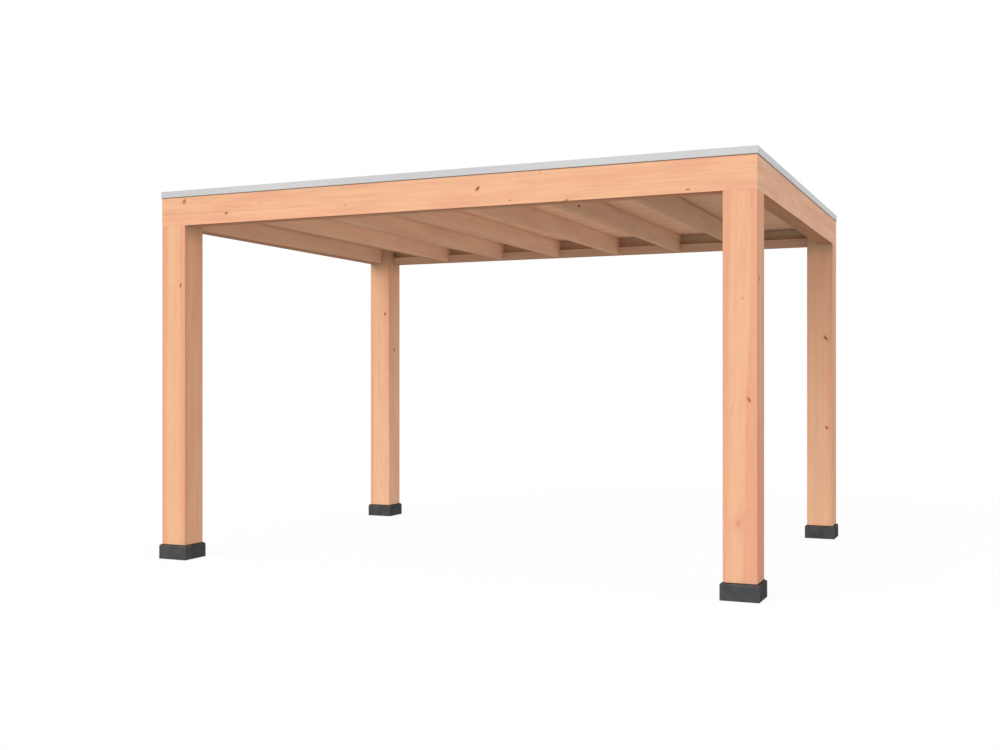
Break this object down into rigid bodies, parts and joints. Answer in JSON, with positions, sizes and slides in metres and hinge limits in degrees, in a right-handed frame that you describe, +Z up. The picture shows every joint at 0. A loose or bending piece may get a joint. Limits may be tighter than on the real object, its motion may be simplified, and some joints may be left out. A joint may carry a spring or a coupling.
{
  "type": "wooden patio cover",
  "caption": "Free-standing wooden patio cover: square posts on dark concrete footings carry a flat roof with exposed rafters, a boarded deck, a rubber membrane and metal edge trims.",
  "frame": {"origin": "on the ground under the middle of the frame", "axes": "+X along the long front side to the right, +Y to the rear, +Z up"},
  "size_m": [4.15, 3.12, 2.543],
  "materials": {
    "frame_timber": "planed, untreated softwood with fine grain and small knots",
    "deck_boards": "planed softwood boards",
    "footing_concrete": "cast anthracite concrete",
    "roof_rubber": "matt black sheet",
    "trim_aluminium": "satin mill finish"
  },
  "bodies": {
    "root": {"front_left_footing": "footing_concrete", "front_right_footing": "footing_concrete", "rear_left_footing": "footing_concrete", "rear_right_footing": "footing_concrete", "front_left_post": "frame_timber", "front_right_post": "frame_timber", "rear_left_post": "frame_timber", "rear_right_post": "frame_timber", "front_beam": "frame_timber", "rear_beam": "frame_timber", "left_beam": "frame_timber", "right_beam": "frame_timber", "front_ledger": "frame_timber", "rear_ledger": "frame_timber", "left_edge_joist": "frame_timber", "right_edge_joist": "frame_timber", "rafter_1": "frame_timber", "rafter_2": "frame_timber", "rafter_3": "frame_timber", "rafter_4": "frame_timber", "rafter_5": "frame_timber", "rafter_6": "frame_timber", "roof_deck": "deck_boards", "roof_membrane": "roof_rubber", "front_trim": "trim_aluminium", "rear_trim": "trim_aluminium", "left_trim": "trim_aluminium", "right_trim": "trim_aluminium"}
  },
  "joints": []
}
